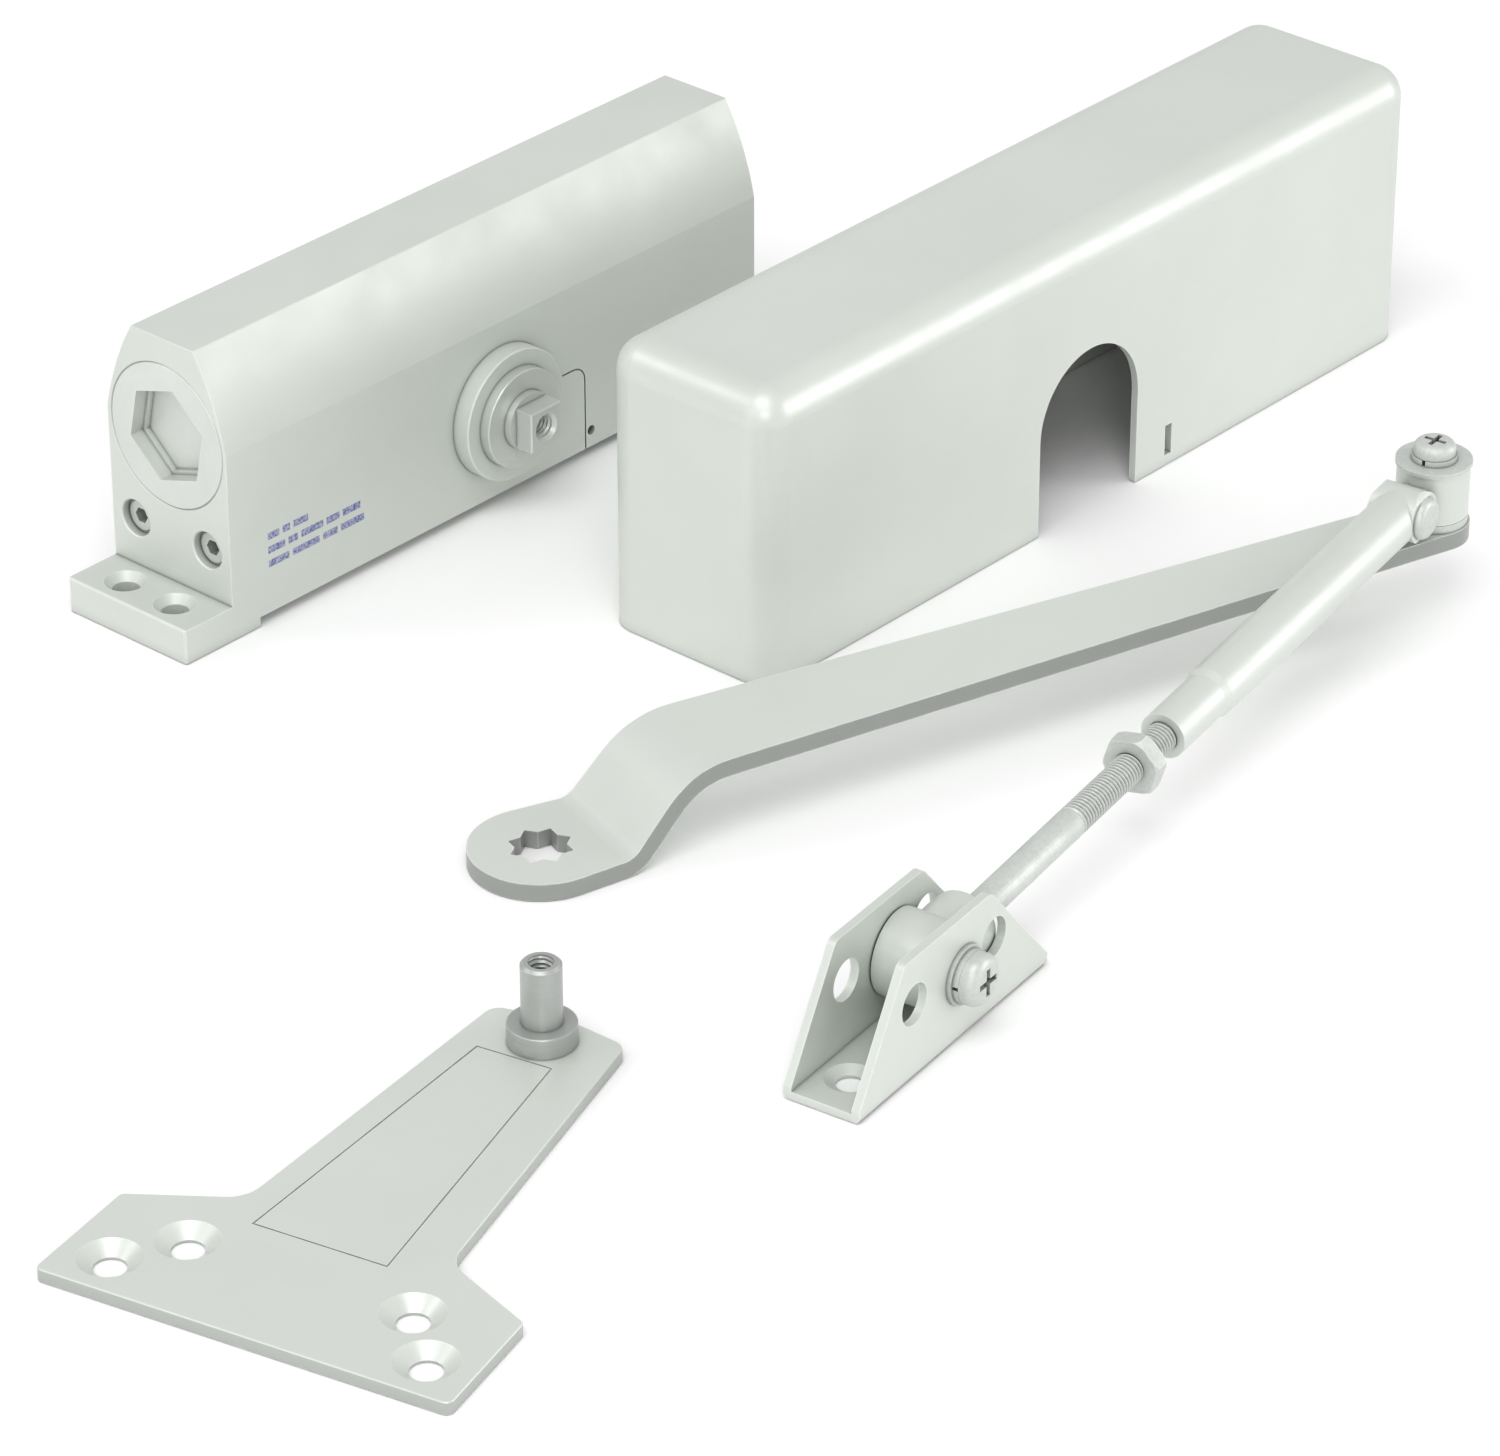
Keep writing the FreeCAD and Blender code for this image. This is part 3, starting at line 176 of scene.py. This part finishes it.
class Finish:
    """A procedural material under construction, worked in the object's own metres."""

    def __init__(self, name):
        self.material = bpy.data.materials.new(name)
        self.material.use_nodes = True
        self.tree = self.material.node_tree
        self.shader = self.tree.nodes["Principled BSDF"]
        self.place = self.node("ShaderNodeTexCoord").outputs["Object"]

    def node(self, kind, **settings):
        made = self.tree.nodes.new(kind)
        for key, value in settings.items():
            setattr(made, key, value)
        return made

    def link(self, output, socket):
        self.tree.links.new(output, socket)

    def stretched(self, scale):
        """Object coordinates scaled along each axis."""
        mapping = self.node("ShaderNodeMapping")
        self.link(self.place, mapping.inputs["Vector"])
        mapping.inputs["Scale"].default_value = scale
        return mapping.outputs["Vector"]

    def noise(self, scale, detail, place=None):
        noise = self.node("ShaderNodeTexNoise")
        self.link(place or self.place, noise.inputs["Vector"])
        noise.inputs["Scale"].default_value = scale
        noise.inputs["Detail"].default_value = detail
        return noise.outputs["Fac"]

    def remap(self, value, low, high, to_low, to_high):
        ranged = self.node("ShaderNodeMapRange")
        self.link(value, ranged.inputs["Value"])
        limits = {"From Min": low, "From Max": high, "To Min": to_low, "To Max": to_high}
        for key, number in limits.items():
            ranged.inputs[key].default_value = number
        return ranged.outputs["Result"]

    def math(self, operation, a, b):
        """A math node; a and b are numbers or outputs."""
        made = self.node("ShaderNodeMath", operation=operation)
        for socket, value in zip(made.inputs, (a, b)):
            if isinstance(value, (int, float)):
                socket.default_value = value
            else:
                self.link(value, socket)
        return made.outputs[0]

    def mix(self, factor, a, b):
        """A colour mix; a and b are colours or outputs."""
        made = self.node("ShaderNodeMix", data_type="RGBA")
        self.link(factor, made.inputs["Factor"])
        for key, value in (("A", a), ("B", b)):
            socket = [s for s in made.inputs if s.name == key and s.type == "RGBA"][0]
            if isinstance(value, tuple):
                socket.default_value = value + (1.0,)
            else:
                self.link(value, socket)
        return [s for s in made.outputs if s.type == "RGBA"][0]

    def edges(self, radius):
        """1 on convex and concave edges, 0 on open faces."""
        bevel = self.node("ShaderNodeBevel", samples=4)
        bevel.inputs["Radius"].default_value = radius
        normal = self.node("ShaderNodeNewGeometry").outputs["Normal"]
        dot = self.node("ShaderNodeVectorMath", operation="DOT_PRODUCT")
        self.link(bevel.outputs["Normal"], dot.inputs[0])
        self.link(normal, dot.inputs[1])
        return self.remap(dot.outputs["Value"], 0.96, 0.76, 0.0, 1.0)

    def uprights(self):
        """1 on faces that stand square to the plate, 0 on its flat and bent faces."""
        split = self.node("ShaderNodeSeparateXYZ")
        self.link(self.tree.nodes["Texture Coordinate"].outputs["Normal"], split.inputs["Vector"])
        return self.remap(self.math("ABSOLUTE", split.outputs["Z"], 0.0), 0.25, 0.5, 1.0, 0.0)

    def hollows(self, distance, closed=0.35, open_air=0.85):
        """1 in tight corners, 0 in the open."""
        shade = self.node("ShaderNodeAmbientOcclusion", samples=6, only_local=False)
        shade.inputs["Distance"].default_value = distance
        return self.remap(shade.outputs["AO"], closed, open_air, 1.0, 0.0)

    def dust_and_painted_shade(self, tone, colour, amount):
        """Dust and painted shade in corners, a painted shade line where pieces meet closely, and
        painted shade darkening narrow holes.
        """
        # Darker in the corners: dust and painted shade.
        dust_and_shade = self.math("MULTIPLY", self.hollows(0.005), amount)
        tone = self.mix(dust_and_shade, tone, darker(colour, 0.45))
        # Painted shade: a dark line in tight gaps and inner corners.
        seam_shade = self.math("MULTIPLY", self.hollows(0.0011, 0.50, 0.80), min(amount * 1.8, 0.85))
        tone = self.mix(seam_shade, tone, darker(colour, 0.72))
        # Painted shade: narrow holes darkened towards black.
        pit_shade = self.math("MULTIPLY", self.hollows(0.004, 0.12, 0.40), 0.85)
        return self.mix(pit_shade, tone, darker(colour, 0.88))

    def bump(self, height, distance, under=None):
        """A bumped normal, on top of another one where given."""
        made = self.node("ShaderNodeBump")
        made.inputs["Strength"].default_value = 1.0
        made.inputs["Distance"].default_value = distance
        self.link(height, made.inputs["Height"])
        if under is not None:
            self.link(under, made.inputs["Normal"])
        return made.outputs["Normal"]

    def set(self, **numbers):
        """Fixed numbers on the shader's own sockets."""
        for key, value in numbers.items():
            self.shader.inputs[key.replace("_", " ")].default_value = value

    def finish(self, colour, roughness, normal):
        self.link(colour, self.shader.inputs["Base Color"])
        self.link(roughness, self.shader.inputs["Roughness"])
        self.link(normal, self.shader.inputs["Normal"])
        return self.material


def lighter(colour, by):
    return tuple(c + (1.0 - c) * by for c in colour)


def darker(colour, by):
    return tuple(c * (1.0 - by) for c in colour)


def painted_metal(name, colour, roughness, metallic=0.35, side_shade=0.0, dust_and_shade=0.35):
    """Aluminium-flake paint: fine sparkle, soft orange peel, edges lightened partly as wear and
    partly as a painted highlight, and corners darkened by dust and painted shade.

    The upright-face amount is how much darker the upright faces of a flat bar or plate are
    painted, a painted shade, and the corner amount how much the corners are darkened by dust
    and painted shade.
    """
    f = Finish(name)
    flake = f.remap(f.noise(5200.0, 0.0), 0.40, 0.66, 0.0, 1.0)
    drift = f.remap(f.noise(14.0, 3.0), 0.35, 0.65, 0.0, 1.0)
    tone = f.mix(drift, darker(colour, 0.035), lighter(colour, 0.02))
    tone = f.mix(f.math("MULTIPLY", flake, 0.08), tone, lighter(colour, 0.35))
    if side_shade:
        # Painted shade: upright faces darkened against the flat ones.
        tone = f.mix(f.math("MULTIPLY", f.uprights(), side_shade), tone, darker(colour, 0.75))
    # Edges lightened: partly wear, partly a painted highlight.
    wear_and_highlight = f.math("MULTIPLY", f.edges(0.0007), f.remap(f.noise(160.0, 4.0), 0.38, 0.62, 0.5, 1.0))
    tone = f.mix(wear_and_highlight, tone, lighter(colour, 0.60))
    # Corners, gaps and holes darkened: dust and painted shade.
    tone = f.dust_and_painted_shade(tone, colour, dust_and_shade)
    rough = f.remap(f.noise(60.0, 4.0), 0.3, 0.7, roughness - 0.06, roughness + 0.07)
    rough = f.math("ADD", rough, f.math("MULTIPLY", flake, -0.04))
    normal = f.bump(f.noise(420.0, 2.0), PAINT_PEEL)
    normal = f.bump(f.noise(2600.0, 1.0), PAINT_GRAIN, under=normal)
    f.set(Metallic=metallic, Coat_Weight=0.12, Coat_Roughness=0.25)
    return f.finish(tone, rough, normal)


def turned_metal(name, colour, axis, roughness, metallic):
    """Bright metal with fine lathe or grinding lines square to an axis."""
    f = Finish(name)
    fine = [60.0, 60.0, 60.0]
    fine[axis] = 5200.0
    lines = f.noise(1.0, 3.0, f.stretched(tuple(fine)))
    stain = f.remap(f.noise(55.0, 4.0), 0.35, 0.7, 0.0, 1.0)
    tone = f.mix(lines, darker(colour, 0.12), lighter(colour, 0.15))
    tone = f.mix(f.math("MULTIPLY", stain, 0.18), tone, darker(colour, 0.35))
    # Edges lightened: a painted highlight.
    tone = f.mix(f.math("MULTIPLY", f.edges(0.0005), 0.6), tone, lighter(colour, 0.45))
    # Corners, gaps and holes darkened: dust and painted shade.
    tone = f.dust_and_painted_shade(tone, colour, 0.3)
    rough = f.remap(lines, 0.3, 0.7, roughness - 0.07, roughness + 0.10)
    normal = f.bump(lines, LATHE_LINES)
    f.set(Metallic=metallic)
    return f.finish(tone, rough, normal)


def plated_metal(name, colour, roughness, metallic):
    """Zinc plate on formed steel: faint spangle, handling marks, edges lightened as a painted
    highlight, and corners darkened by dust and painted shade.
    """
    f = Finish(name)
    spangle = f.node("ShaderNodeTexVoronoi")
    f.link(f.place, spangle.inputs["Vector"])
    spangle.inputs["Scale"].default_value = 900.0
    cells = f.remap(spangle.outputs["Distance"], 0.0, 0.9, 0.0, 1.0)
    cloud = f.remap(f.noise(90.0, 4.0), 0.35, 0.68, 0.0, 1.0)
    tone = f.mix(cells, darker(colour, 0.06), lighter(colour, 0.10))
    tone = f.mix(f.math("MULTIPLY", cloud, 0.3), tone, darker(colour, 0.22))
    # Edges lightened: a painted highlight.
    tone = f.mix(f.math("MULTIPLY", f.edges(0.0005), 0.7), tone, lighter(colour, 0.5))
    # Corners, gaps and holes darkened: dust and painted shade.
    tone = f.dust_and_painted_shade(tone, colour, 0.5)
    rough = f.remap(cloud, 0.0, 1.0, roughness - 0.05, roughness + 0.12)
    normal = f.bump(f.noise(1500.0, 3.0), PLATE_SKIN)
    f.set(Metallic=metallic)
    return f.finish(tone, rough, normal)


def ground_iron(name, colour):
    """Dark oiled iron or spring steel with a mottled skin."""
    f = Finish(name)
    mottle = f.remap(f.noise(220.0, 5.0), 0.3, 0.7, 0.0, 1.0)
    tone = f.mix(mottle, darker(colour, 0.3), lighter(colour, 0.12))
    # Edges lightened: a painted highlight.
    tone = f.mix(f.math("MULTIPLY", f.edges(0.0006), 0.5), tone, lighter(colour, 0.3))
    rough = f.remap(mottle, 0.0, 1.0, 0.38, 0.60)
    f.set(Metallic=0.6)
    return f.finish(tone, rough, f.bump(f.noise(900.0, 4.0), IRON_SKIN))


def moulded_rubber(name, colour):
    """Black rubber with a faint bloom."""
    f = Finish(name)
    bloom = f.remap(f.noise(140.0, 4.0), 0.35, 0.7, 0.0, 1.0)
    tone = f.mix(bloom, colour, lighter(colour, 0.06))
    rough = f.remap(bloom, 0.0, 1.0, 0.55, 0.75)
    return f.finish(tone, rough, f.bump(f.noise(1800.0, 2.0), RUBBER_SKIN))


def printed_ink(name, colour):
    """Pad-printed ink, thin and slightly broken."""
    f = Finish(name)
    worn = f.remap(f.noise(1400.0, 4.0), 0.36, 0.62, 0.0, 1.0)
    tone = f.mix(worn, colour, lighter(colour, 0.35))
    rough = f.remap(worn, 0.0, 1.0, 0.40, 0.55)
    return f.finish(tone, rough, f.bump(worn, INK_SKIN))


def make_finishes():
    """Every finish by its name."""
    # Per finish, the upright-face amount sets painted shade on upright faces, and the corner
    # amount sets dust with painted shade in corners.
    table = {
        "body_paint": (painted_metal, {
            "colour": lighter(SILVER, 0.03), "roughness": 0.58, "metallic": 0.40, "dust_and_shade": 0.5,
        }),
        "cover_paint": (painted_metal, {
            "colour": SILVER, "roughness": 0.43, "metallic": 0.28, "dust_and_shade": 0.5,
        }),
        "arm_paint": (painted_metal, {
            "colour": lighter(SILVER, 0.06), "roughness": 0.40, "side_shade": 0.75,
        }),
        "tube_paint": (painted_metal, {"colour": SILVER, "roughness": 0.42}),
        "bracket_paint": (painted_metal, {
            "colour": lighter(SILVER, 0.05), "roughness": 0.42, "side_shade": 0.45, "dust_and_shade": 0.2,
        }),
        "cap_metal": (turned_metal, {
            "colour": lighter(SILVER, 0.10), "axis": 0, "roughness": 0.38, "metallic": 0.45,
        }),
        "gland_metal": (turned_metal, {
            "colour": SILVER, "axis": 1, "roughness": 0.34, "metallic": 0.6,
        }),
        "shaft_steel": (turned_metal, {
            "colour": STEEL, "axis": 1, "roughness": 0.36, "metallic": 0.6,
        }),
        "valve_steel": (turned_metal, {
            "colour": ZINC, "axis": 0, "roughness": 0.36, "metallic": 0.6,
        }),
        "stud_steel": (turned_metal, {
            "colour": STUD_GREY, "axis": 2, "roughness": 0.38, "metallic": 0.6,
        }),
        "zinc": (plated_metal, {"colour": ZINC, "roughness": 0.46, "metallic": 0.35}),
        "spring_steel": (ground_iron, {"colour": DARK_STEEL}),
        "piston_iron": (ground_iron, {"colour": IRON}),
        "rubber": (moulded_rubber, {"colour": RUBBER}),
        "ink": (printed_ink, {"colour": INK}),
    }
    return {name: build(name, **settings) for name, (build, settings) in table.items()}


NODE_FINISH = {
    "body_paint": ["body_casting"],
    "cover_paint": ["cover_shell"],
    "arm_paint": ["main_arm"],
    "tube_paint": ["forearm_tube", "elbow_knuckle", "rod_end", "shoe_bracket"],
    "bracket_paint": ["bracket_plate"],
    "cap_metal": ["end_cap_near", "end_cap_far"],
    "gland_metal": ["spindle_gland_front", "spindle_gland_back"],
    "shaft_steel": ["pinion_shaft", "pinion_bearing_front", "pinion_bearing_back"],
    "valve_steel": ["sweep_valve", "latch_valve", "piston_check_valve"],
    "stud_steel": ["bracket_stud"],
    "zinc": [
        "elbow_stud", "elbow_spacer", "elbow_flat_washer", "elbow_lock_washer", "elbow_screw",
        "elbow_rivet", "threaded_rod", "lock_nut", "shoe_washer", "shoe_lock_washer", "shoe_screw",
    ],
    "spring_steel": ["main_spring", "spring_seat"],
    "piston_iron": ["piston"],
    "rubber": [
        "spindle_seal", "end_cap_seals", "sweep_valve_seal", "latch_valve_seal", "piston_seal",
    ],
}


# ---------------------------------------------------------------- fine detail

# Millimetres, where the name doesn't say otherwise
NEAR_END_X = -70.0
PRINT_X = -92.0
BAR_H = 2.1
BAR_GAP = 1.3
INK_PROUD = 0.02
INK_DEPTH = 0.06
# Height of each row's foot, and the lengths of its bars
PRINT_ROWS = (
    (25.0, (4.4, 2.8, 5.6)),
    (20.8, (6.4, 3.6, 8.4, 5.0, 6.8)),
    (16.6, (7.8, 10.4, 5.6, 9.0)),
)
THREAD_PITCH = 1.25 * MM
THREAD_LAND = 0.12
THREAD_FLANK = 0.70
ROWS_PER_PITCH = 8
THREAD_SEGMENTS = 36
ROD_R = 4.2 * MM
ROD_ROOT_R = 3.55 * MM
ROD_CHAMFER = 0.8 * MM
ROD_THREAD = 88.0 * MM
ROD_RUN_OUT = 3.0 * MM
TAP_CREST_R = 2.75 * MM
TAP_ROOT_R = 3.28 * MM
TAP_WALL_R = 3.34 * MM
# Depth of the thread, and how far below the face it starts
SPINDLE_TAP = (11.0 * MM, 1.1 * MM)
STUD_TAP = (10.0 * MM, 0.3 * MM)
WELD_DISTANCE = 0.001 * MM


def add_piece(name, bm, material, body):
    mesh = bpy.data.meshes.new(name)
    bmesh.ops.recalc_face_normals(bm, faces=bm.faces)
    bm.to_mesh(mesh)
    bm.free()
    obj = bpy.data.objects.new(name, mesh)
    bpy.context.scene.collection.objects.link(obj)
    mesh.materials.append(material)
    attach(obj, body)
    return obj


class Axis:
    """A line through a CAD node, with the node's extent along it."""

    def __init__(self, node, heading):
        self.along = Vector(heading).normalized()
        side = Vector((0.0, 0.0, 1.0)) if abs(self.along.z) < 0.9 else Vector((1.0, 0.0, 0.0))
        self.u = self.along.cross(side).normalized()
        self.w = self.along.cross(self.u)
        points = [v.co for v in NODES[node].data.vertices]
        spans = []
        for way in (self.u, self.w, self.along):
            values = [p.dot(way) for p in points]
            spans.append((min(values), max(values)))
        centre = [(low + high) / 2 for low, high in spans[:2]]
        self.base = self.u * centre[0] + self.w * centre[1]
        self.start, self.end = spans[2]

    def point(self, t, radius, angle):
        """The point at a distance along the line, a radius from it, at an angle round it."""
        offset = self.u * math.cos(angle) + self.w * math.sin(angle)
        return self.base + self.along * t + offset * radius


def clamped(value):
    return min(max(value, 0.0), 1.0)


def thread_profile(phase, crest, root):
    """Radius of a 60-degree thread with a flat crest and root at a phase from 0 to 1."""
    rise = min(phase, 1.0 - phase) * 2.0
    return crest + (root - crest) * clamped((rise - THREAD_LAND) / THREAD_FLANK)


def lathe(bm, axis, rows):
    """Rings of points along an axis, skinned; each row is a distance and its radius by turn."""
    rings = []
    for t, radius in rows:
        ring = []
        for i in range(THREAD_SEGMENTS):
            turn = i / THREAD_SEGMENTS
            ring.append(bm.verts.new(axis.point(t, radius(turn), turn * 2.0 * math.pi)))
        rings.append(ring)
    for low, high in zip(rings, rings[1:]):
        for i in range(THREAD_SEGMENTS):
            j = (i + 1) % THREAD_SEGMENTS
            bm.faces.new((low[i], low[j], high[j], high[i]))
    return rings


def plain(radius):
    """The same radius all round a ring."""
    return lambda turn: radius


def helical(t, crest, root, fade):
    """Radius round one ring of a thread; fade 0 leaves the ring plain at the crest."""
    def radius(turn):
        phase = (t / THREAD_PITCH - turn) % 1.0
        return crest + (thread_profile(phase, crest, root) - crest) * fade
    return radius


def threaded_rod(finishes):
    """The arm's rod: a cut thread where it runs in the tube and nut, plain towards the shoe."""
    axis = Axis("threaded_rod", JOINTS["rod_adjust"]["axis"])
    step = THREAD_PITCH / ROWS_PER_PITCH
    rows = [(axis.start, plain(ROD_R - ROD_CHAMFER))]
    for i in range(int(ROD_THREAD / step) + 1):
        t = axis.start + ROD_CHAMFER + i * step
        fade = clamped((axis.start + ROD_THREAD - t) / ROD_RUN_OUT)
        rows.append((t, helical(t, ROD_R, ROD_ROOT_R, fade)))
    rows.append((axis.end, plain(ROD_R)))
    bm = bmesh.new()
    rings = lathe(bm, axis, rows)
    bm.faces.new(rings[0])
    bm.faces.new(rings[-1])
    rod = add_piece("threaded_rod_cut", bm, finishes["zinc"], "rod")
    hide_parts("threaded_rod")


def tapped_hole(name, node, heading, tap, finish, body):
    """Thread ridges standing in from the wall of a hole that opens at the far end of an axis."""
    depth, mouth = tap
    axis = Axis(node, heading)
    top = axis.end - mouth
    bottom = top - depth
    step = THREAD_PITCH / ROWS_PER_PITCH
    rows = [(bottom, plain(TAP_WALL_R))]
    for i in range(int(depth / step) + 1):
        t = bottom + i * step
        fade = clamped((top - t) / THREAD_PITCH)
        rows.append((t, helical(t, TAP_ROOT_R, TAP_CREST_R, fade)))
    rows.append((top, plain(TAP_WALL_R)))
    bm = bmesh.new()
    rings = lathe(bm, axis, rows)
    first, last = rings[0], rings[-1]
    for i in range(THREAD_SEGMENTS):
        j = (i + 1) % THREAD_SEGMENTS
        bm.faces.new((first[j], first[i], last[i], last[j]))
    add_piece(name, bm, finish, body)


def return_spring(finishes):
    """The main spring as a piece of its own on the root body, with its points welded."""
    bm = bmesh.new()
    bm.from_mesh(NODES["main_spring"].data)
    bmesh.ops.remove_doubles(bm, verts=bm.verts, dist=WELD_DISTANCE)
    spring = add_piece("return_spring", bm, finishes["spring_steel"], "root")
    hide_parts("main_spring")
    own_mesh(spring)


def printed_bars(finishes):
    """Rows of small plain bars printed low on the closer body, with no lettering."""
    body_points = [v.co for v in NODES["body_casting"].data.vertices]
    front_y = min(p.y for p in body_points if p.x < NEAR_END_X * MM) - INK_PROUD * MM
    back_y = front_y + INK_DEPTH * MM
    bm = bmesh.new()
    for foot_z, lengths in PRINT_ROWS:
        x = PRINT_X
        for length in lengths:
            end_x = x + length
            top_z = foot_z + BAR_H
            corners = ((x, foot_z), (end_x, foot_z), (end_x, top_z), (x, top_z))
            front = [bm.verts.new((cx * MM, front_y, cz * MM)) for cx, cz in corners]
            back = [bm.verts.new((cx * MM, back_y, cz * MM)) for cx, cz in corners]
            bm.faces.new(front)
            bm.faces.new(back)
            for i in range(4):
                j = (i + 1) % 4
                bm.faces.new((front[i], front[j], back[j], back[i]))
            x = end_x + BAR_GAP
    add_piece("printed_bars", bm, finishes["ink"], "root")


def finish_nodes(finishes):
    """Give each CAD node its finish."""
    for finish, names in NODE_FINISH.items():
        for name in names:
            materials = NODES[name].data.materials
            materials.clear()
            materials.append(finishes[finish])


bpy.context.scene.view_settings.view_transform = "Standard"
add_camera()
add_world()
add_floor()
for name, azimuth, elevation, size, power in LAMPS:
    add_softbox(name, azimuth, elevation, size, power)
FINISHES = make_finishes()
finish_nodes(FINISHES)
threaded_rod(FINISHES)
tapped_hole(
    "spindle_thread", "pinion_shaft", (0.0, -1.0, 0.0), SPINDLE_TAP,
    FINISHES["shaft_steel"], "spindle",
)
tapped_hole(
    "stud_thread", "bracket_stud", (0.0, 0.0, 1.0), STUD_TAP,
    FINISHES["stud_steel"], "bracket",
)
return_spring(FINISHES)
printed_bars(FINISHES)
